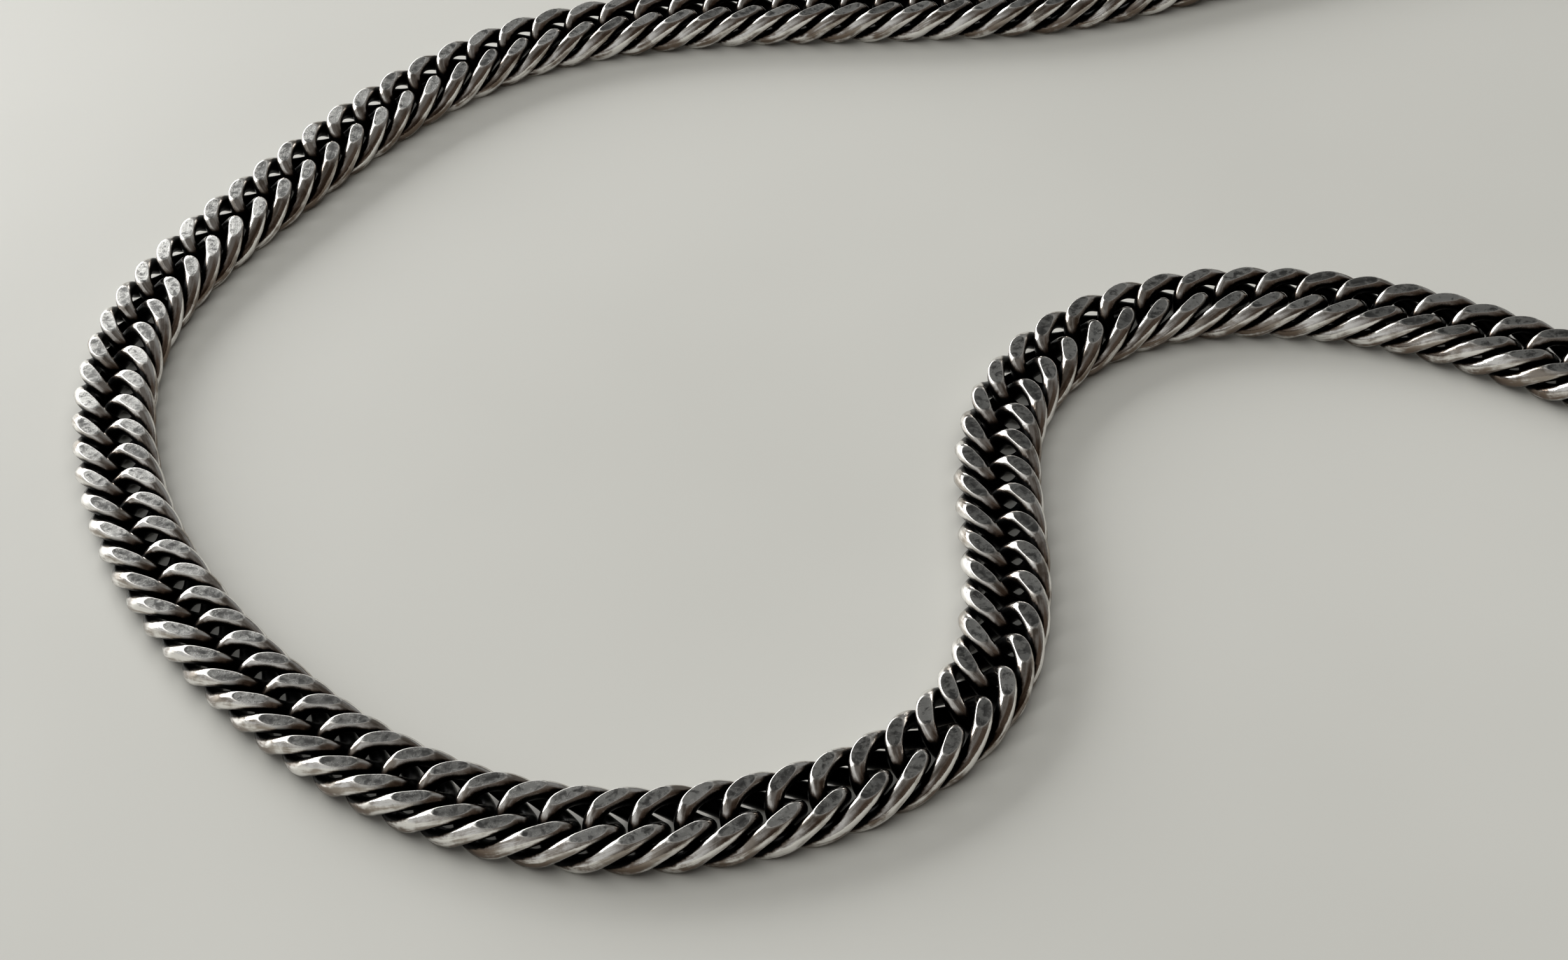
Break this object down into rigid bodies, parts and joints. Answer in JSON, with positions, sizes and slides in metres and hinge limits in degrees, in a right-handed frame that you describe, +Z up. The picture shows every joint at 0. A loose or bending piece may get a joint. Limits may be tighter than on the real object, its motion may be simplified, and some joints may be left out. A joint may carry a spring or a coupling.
{
  "type": "chain necklace",
  "caption": "Flat-filed double curb chain necklace in oxidised silver, laid open, with a lobster clasp and an end ring.",
  "frame": {"origin": "middle of the laid-out necklace's box, on the table", "axes": "+X towards the two free ends, +Y from the lower run to the upper run, +Z up from the table"},
  "size_m": [0.2142, 0.1172, 0.0044],
  "materials": {
    "oxidised_silver": "darkened in the recesses, worn bright on the rims",
    "silver_fittings": "worn satin silver",
    "spring_steel": "bright wire"
  },
  "bodies": {
    "chain_segment_01": {"chain_segment_01": "oxidised_silver"},
    "chain_segment_02": {"chain_segment_02": "oxidised_silver"},
    "chain_segment_03": {"chain_segment_03": "oxidised_silver"},
    "chain_segment_04": {"chain_segment_04": "oxidised_silver"},
    "chain_segment_05": {"chain_segment_05": "oxidised_silver"},
    "chain_segment_06": {"chain_segment_06": "oxidised_silver"},
    "chain_segment_07": {"chain_segment_07": "oxidised_silver"},
    "chain_segment_08": {"chain_segment_08": "oxidised_silver"},
    "chain_segment_09": {"chain_segment_09": "oxidised_silver"},
    "chain_segment_10": {"chain_segment_10": "oxidised_silver"},
    "chain_segment_11": {"chain_segment_11": "oxidised_silver"},
    "chain_segment_12": {"chain_segment_12": "oxidised_silver"},
    "chain_segment_13": {"chain_segment_13": "oxidised_silver"},
    "chain_segment_14": {"chain_segment_14": "oxidised_silver"},
    "chain_segment_15": {"chain_segment_15": "oxidised_silver"},
    "chain_segment_16": {"chain_segment_16": "oxidised_silver"},
    "chain_segment_17": {"chain_segment_17": "oxidised_silver"},
    "chain_segment_18": {"chain_segment_18": "oxidised_silver"},
    "chain_segment_19": {"chain_segment_19": "oxidised_silver"},
    "chain_segment_20": {"chain_segment_20": "oxidised_silver"},
    "chain_segment_21": {"chain_segment_21": "oxidised_silver"},
    "chain_segment_22": {"chain_segment_22": "oxidised_silver"},
    "chain_segment_23": {"chain_segment_23": "oxidised_silver"},
    "chain_segment_24": {"chain_segment_24": "oxidised_silver"},
    "chain_segment_25": {"chain_segment_25": "oxidised_silver"},
    "chain_segment_26": {"chain_segment_26": "oxidised_silver"},
    "chain_segment_27": {"chain_segment_27": "oxidised_silver"},
    "chain_segment_28": {"chain_segment_28": "oxidised_silver"},
    "chain_segment_29": {"chain_segment_29": "oxidised_silver"},
    "chain_segment_30": {"chain_segment_30": "oxidised_silver"},
    "chain_segment_31": {"chain_segment_31": "oxidised_silver"},
    "chain_segment_32": {"chain_segment_32": "oxidised_silver"},
    "chain_segment_33": {"chain_segment_33": "oxidised_silver"},
    "chain_segment_34": {"chain_segment_34": "oxidised_silver"},
    "chain_segment_35": {"chain_segment_35": "oxidised_silver"},
    "chain_segment_36": {"chain_segment_36": "oxidised_silver"},
    "chain_segment_37": {"chain_segment_37": "oxidised_silver"},
    "chain_segment_38": {"chain_segment_38": "oxidised_silver"},
    "chain_segment_39": {"chain_segment_39": "oxidised_silver"},
    "chain_segment_40": {"chain_segment_40": "oxidised_silver"},
    "chain_segment_41": {"chain_segment_41": "oxidised_silver"},
    "chain_segment_42": {"chain_segment_42": "oxidised_silver"},
    "chain_segment_43": {"chain_segment_43": "oxidised_silver"},
    "chain_segment_44": {"chain_segment_44": "oxidised_silver"},
    "chain_segment_45": {"chain_segment_45": "oxidised_silver"},
    "chain_segment_46": {"chain_segment_46": "oxidised_silver"},
    "chain_segment_47": {"chain_segment_47": "oxidised_silver"},
    "chain_segment_48": {"chain_segment_48": "oxidised_silver"},
    "chain_segment_49": {"chain_segment_49": "oxidised_silver"},
    "clasp_jump_ring": {"clasp_jump_ring": "silver_fittings"},
    "clasp": {"clasp_body": "silver_fittings", "clasp_rivet": "silver_fittings", "clasp_spring": "spring_steel"},
    "clasp_lever": {"clasp_lever": "silver_fittings"},
    "ring_jump_ring": {"ring_jump_ring": "silver_fittings"},
    "end_ring": {"end_ring": "silver_fittings"}
  },
  "joints": [
    {"name": "link_bend_01", "type": "hinge", "parent": "chain_segment_02", "child": "chain_segment_01", "pos_m": [0.07406, -0.03392, 0.00158], "axis": [0, 0, 1], "range_deg": [-12.16, 9.34]},
    {"name": "link_lift_02", "type": "hinge", "parent": "chain_segment_03", "child": "chain_segment_02", "pos_m": [0.06435, -0.03304, 0.00158], "axis": [-0.1287, -0.9917, 0], "range_deg": [-3.5, 3.5]},
    {"name": "link_bend_03", "type": "hinge", "parent": "chain_segment_04", "child": "chain_segment_03", "pos_m": [0.05473, -0.03144, 0.00158], "axis": [0, 0, -1], "range_deg": [-10.14, 11.36]},
    {"name": "link_lift_04", "type": "hinge", "parent": "chain_segment_05", "child": "chain_segment_04", "pos_m": [0.04519, -0.02947, 0.00158], "axis": [0.226, 0.9741, 0], "range_deg": [-3.5, 3.5]},
    {"name": "link_bend_05", "type": "hinge", "parent": "chain_segment_06", "child": "chain_segment_05", "pos_m": [0.03586, -0.02667, 0.00158], "axis": [0, 0, 1], "range_deg": [-13.66, 8.09]},
    {"name": "link_lift_06", "type": "hinge", "parent": "chain_segment_07", "child": "chain_segment_06", "pos_m": [0.02705, -0.02251, 0.00158], "axis": [-0.4907, -0.8713, 0], "range_deg": [-3.25, 3.25]},
    {"name": "link_bend_07", "type": "hinge", "parent": "chain_segment_08", "child": "chain_segment_07", "pos_m": [0.01893, -0.01712, 0.00158], "axis": [0, 0, -1], "range_deg": [-8.65, 12.1]},
    {"name": "link_lift_08", "type": "hinge", "parent": "chain_segment_09", "child": "chain_segment_08", "pos_m": [0.01129, -0.01107, 0.00158], "axis": [0.6077, 0.7942, 0], "range_deg": [-3.25, 3.25]},
    {"name": "link_bend_09", "type": "hinge", "parent": "chain_segment_10", "child": "chain_segment_09", "pos_m": [0.00314, -0.00574, 0.00158], "axis": [0, 0, 1], "range_deg": [-6.05, 15.2]},
    {"name": "link_lift_10", "type": "hinge", "parent": "chain_segment_11", "child": "chain_segment_10", "pos_m": [-0.00599, -0.0024, 0.00158], "axis": [-0.2211, -0.9752, 0], "range_deg": [-2.75, 2.75]},
    {"name": "link_bend_11", "type": "hinge", "parent": "chain_segment_12", "child": "chain_segment_11", "pos_m": [-0.01567, -0.00177, 0.00158], "axis": [0, 0, -1], "range_deg": [-19.15, 1.6]},
    {"name": "link_bend_12", "type": "hinge", "parent": "chain_segment_13", "child": "chain_segment_12", "pos_m": [-0.0246, -0.00541, 0.00158], "axis": [0, 0, 1], "range_deg": [-0.58, 20.42]},
    {"name": "link_bend_13", "type": "hinge", "parent": "chain_segment_14", "child": "chain_segment_13", "pos_m": [-0.03047, -0.01306, 0.00158], "axis": [0, 0, -1], "range_deg": [-19.72, 1.53]},
    {"name": "link_lift_14", "type": "hinge", "parent": "chain_segment_15", "child": "chain_segment_14", "pos_m": [-0.03233, -0.02258, 0.00158], "axis": [-0.9985, 0.0544, 0], "range_deg": [-3, 3]},
    {"name": "link_bend_15", "type": "hinge", "parent": "chain_segment_16", "child": "chain_segment_15", "pos_m": [-0.03277, -0.03232, 0.00158], "axis": [0, 0, 1], "range_deg": [-13.25, 7.5]},
    {"name": "link_bend_16", "type": "hinge", "parent": "chain_segment_17", "child": "chain_segment_16", "pos_m": [-0.03474, -0.04183, 0.00158], "axis": [0, 0, -1], "range_deg": [-1.71, 18.54]},
    {"name": "link_bend_17", "type": "hinge", "parent": "chain_segment_18", "child": "chain_segment_17", "pos_m": [-0.04049, -0.04956, 0.00158], "axis": [0, 0, 1], "range_deg": [-18.75, 2]},
    {"name": "link_bend_18", "type": "hinge", "parent": "chain_segment_19", "child": "chain_segment_18", "pos_m": [-0.04915, -0.05389, 0.00158], "axis": [0, 0, -1], "range_deg": [-4.59, 16.41]},
    {"name": "link_lift_19", "type": "hinge", "parent": "chain_segment_20", "child": "chain_segment_19", "pos_m": [-0.05878, -0.05518, 0.00158], "axis": [-0.006, -1, 0], "range_deg": [-2.5, 2.5]},
    {"name": "link_bend_20", "type": "hinge", "parent": "chain_segment_21", "child": "chain_segment_20", "pos_m": [-0.06837, -0.05363, 0.00158], "axis": [0, 0, 1], "range_deg": [-16.15, 5.35]},
    {"name": "link_lift_21", "type": "hinge", "parent": "chain_segment_22", "child": "chain_segment_21", "pos_m": [-0.07709, -0.04935, 0.00158], "axis": [0.5556, 0.8315, 0], "range_deg": [-2.75, 2.75]},
    {"name": "link_bend_22", "type": "hinge", "parent": "chain_segment_23", "child": "chain_segment_22", "pos_m": [-0.08454, -0.04308, 0.00158], "axis": [0, 0, -1], "range_deg": [-7.51, 13.74]},
    {"name": "link_lift_23", "type": "hinge", "parent": "chain_segment_24", "child": "chain_segment_23", "pos_m": [-0.09083, -0.03564, 0.00158], "axis": [-0.8028, -0.5962, 0], "range_deg": [-3.5, 3.5]},
    {"name": "link_bend_24", "type": "hinge", "parent": "chain_segment_25", "child": "chain_segment_24", "pos_m": [-0.09615, -0.02748, 0.00158], "axis": [0, 0, 1], "range_deg": [-13.11, 8.14]},
    {"name": "link_lift_25", "type": "hinge", "parent": "chain_segment_25", "child": "chain_segment_26", "pos_m": [-0.1003, -0.01867, 0.00158], "axis": [0.9375, 0.3481, 0], "range_deg": [-3.25, 3.25]},
    {"name": "link_bend_26", "type": "hinge", "parent": "chain_segment_26", "child": "chain_segment_27", "pos_m": [-0.10288, -0.00928, 0.00158], "axis": [0, 0, -1], "range_deg": [-14.14, 7.11]},
    {"name": "link_lift_27", "type": "hinge", "parent": "chain_segment_27", "child": "chain_segment_28", "pos_m": [-0.10358, 0.00043, 0.00158], "axis": [-0.9991, 0.0434, 0], "range_deg": [-2.75, 2.75]},
    {"name": "link_bend_28", "type": "hinge", "parent": "chain_segment_28", "child": "chain_segment_29", "pos_m": [-0.1017, 0.00995, 0.00158], "axis": [0, 0, 1], "range_deg": [-4.19, 16.56]},
    {"name": "link_lift_29", "type": "hinge", "parent": "chain_segment_29", "child": "chain_segment_30", "pos_m": [-0.09701, 0.01847, 0.00158], "axis": [0.822, -0.5695, 0], "range_deg": [-3.25, 3.25]},
    {"name": "link_bend_30", "type": "hinge", "parent": "chain_segment_30", "child": "chain_segment_31", "pos_m": [-0.09111, 0.02623, 0.00158], "axis": [0, 0, -1], "range_deg": [-10.87, 10.63]},
    {"name": "link_lift_31", "type": "hinge", "parent": "chain_segment_31", "child": "chain_segment_32", "pos_m": [-0.08487, 0.03372, 0.00158], "axis": [-0.7364, 0.6766, 0], "range_deg": [-3.25, 3.25]},
    {"name": "link_bend_32", "type": "hinge", "parent": "chain_segment_32", "child": "chain_segment_33", "pos_m": [-0.07771, 0.04032, 0.00158], "axis": [0, 0, 1], "range_deg": [-6.71, 14.54]},
    {"name": "link_bend_33", "type": "hinge", "parent": "chain_segment_33", "child": "chain_segment_34", "pos_m": [-0.06929, 0.04517, 0.00158], "axis": [0, 0, -1], "range_deg": [-16.99, 4.26]},
    {"name": "link_lift_34", "type": "hinge", "parent": "chain_segment_34", "child": "chain_segment_35", "pos_m": [-0.05979, 0.04723, 0.00158], "axis": [0.0894, -0.996, 0], "range_deg": [-3, 3]},
    {"name": "link_bend_35", "type": "hinge", "parent": "chain_segment_35", "child": "chain_segment_36", "pos_m": [-0.05005, 0.04734, 0.00158], "axis": [0, 0, 1], "range_deg": [-8.8, 12.45]},
    {"name": "link_lift_36", "type": "hinge", "parent": "chain_segment_36", "child": "chain_segment_37", "pos_m": [-0.04034, 0.04648, 0.00158], "axis": [0.1052, 0.9945, 0], "range_deg": [-3.75, 3.75]},
    {"name": "link_bend_37", "type": "hinge", "parent": "chain_segment_37", "child": "chain_segment_38", "pos_m": [-0.03063, 0.04557, 0.00158], "axis": [0, 0, -1], "range_deg": [-9.89, 11.61]},
    {"name": "link_lift_38", "type": "hinge", "parent": "chain_segment_38", "child": "chain_segment_39", "pos_m": [-0.02089, 0.04522, 0.00158], "axis": [0.0389, -0.9992, 0], "range_deg": [-2.75, 2.75]},
    {"name": "link_bend_39", "type": "hinge", "parent": "chain_segment_39", "child": "chain_segment_40", "pos_m": [-0.0113, 0.04684, 0.00158], "axis": [0, 0, 1], "range_deg": [-11.46, 8.79]},
    {"name": "link_lift_40", "type": "hinge", "parent": "chain_segment_40", "child": "chain_segment_41", "pos_m": [-0.00188, 0.04935, 0.00158], "axis": [-0.2503, 0.9682, 0], "range_deg": [-3.75, 3.75]},
    {"name": "link_bend_41", "type": "hinge", "parent": "chain_segment_41", "child": "chain_segment_42", "pos_m": [0.00756, 0.0518, 0.00158], "axis": [0, 0, -1], "range_deg": [-11.36, 9.89]},
    {"name": "link_lift_42", "type": "hinge", "parent": "chain_segment_42", "child": "chain_segment_43", "pos_m": [0.01709, 0.05381, 0.00158], "axis": [0.1586, -0.9873, 0], "range_deg": [-3.5, 3.5]},
    {"name": "link_bend_43", "type": "hinge", "parent": "chain_segment_43", "child": "chain_segment_44", "pos_m": [0.02678, 0.05488, 0.00158], "axis": [0, 0, 1], "range_deg": [-9.23, 12.52]},
    {"name": "link_lift_44", "type": "hinge", "parent": "chain_segment_44", "child": "chain_segment_45", "pos_m": [0.03652, 0.05505, 0.00158], "axis": [0.0261, 0.9997, 0], "range_deg": [-3.5, 3.5]},
    {"name": "link_bend_45", "type": "hinge", "parent": "chain_segment_45", "child": "chain_segment_46", "pos_m": [0.04626, 0.05457, 0.00158], "axis": [0, 0, -1], "range_deg": [-10.66, 10.84]},
    {"name": "link_lift_46", "type": "hinge", "parent": "chain_segment_46", "child": "chain_segment_47", "pos_m": [0.056, 0.05403, 0.00158], "axis": [-0.0506, -0.9987, 0], "range_deg": [-3.75, 3.75]},
    {"name": "link_bend_47", "type": "hinge", "parent": "chain_segment_47", "child": "chain_segment_48", "pos_m": [0.06574, 0.0536, 0.00158], "axis": [0, 0, 1], "range_deg": [-11.08, 10.42]},
    {"name": "link_lift_48", "type": "hinge", "parent": "chain_segment_48", "child": "chain_segment_49", "pos_m": [0.07548, 0.05332, 0.00158], "axis": [0.0168, 0.9999, 0], "range_deg": [-3.75, 3.75]},
    {"name": "clasp_jump_ring_swing", "type": "hinge", "parent": "chain_segment_01", "child": "clasp_jump_ring", "pos_m": [0.08628, -0.03404, 0.00158], "axis": [-0.0084, 0.6871, -0.7266], "range_deg": [-16, 16]},
    {"name": "clasp_swing", "type": "hinge", "parent": "clasp_jump_ring", "child": "clasp", "pos_m": [0.08757, -0.03338, 0.00219], "axis": [0.0122, -0.9999, 0], "range_deg": [-15, 15]},
    {"name": "ring_jump_ring_swing", "type": "hinge", "parent": "chain_segment_49", "child": "ring_jump_ring", "pos_m": [0.08771, 0.0533, 0.00158], "axis": [-0.0042, 0.6871, -0.7266], "range_deg": [-16, 16]},
    {"name": "end_ring_swing", "type": "hinge", "parent": "ring_jump_ring", "child": "end_ring", "pos_m": [0.08905, 0.05396, 0.00219], "axis": [0.0061, -1, 0], "range_deg": [-15, 15]},
    {"name": "clasp_lever_swing", "type": "hinge", "parent": "clasp", "child": "clasp_lever", "pos_m": [0.09558, -0.03418, 0.00193], "axis": [0.0325, 0, 0.9995], "range_deg": [0, 24], "stiffness_Nm_per_rad": 0.004, "springref_deg": -17.19}
  ]
}
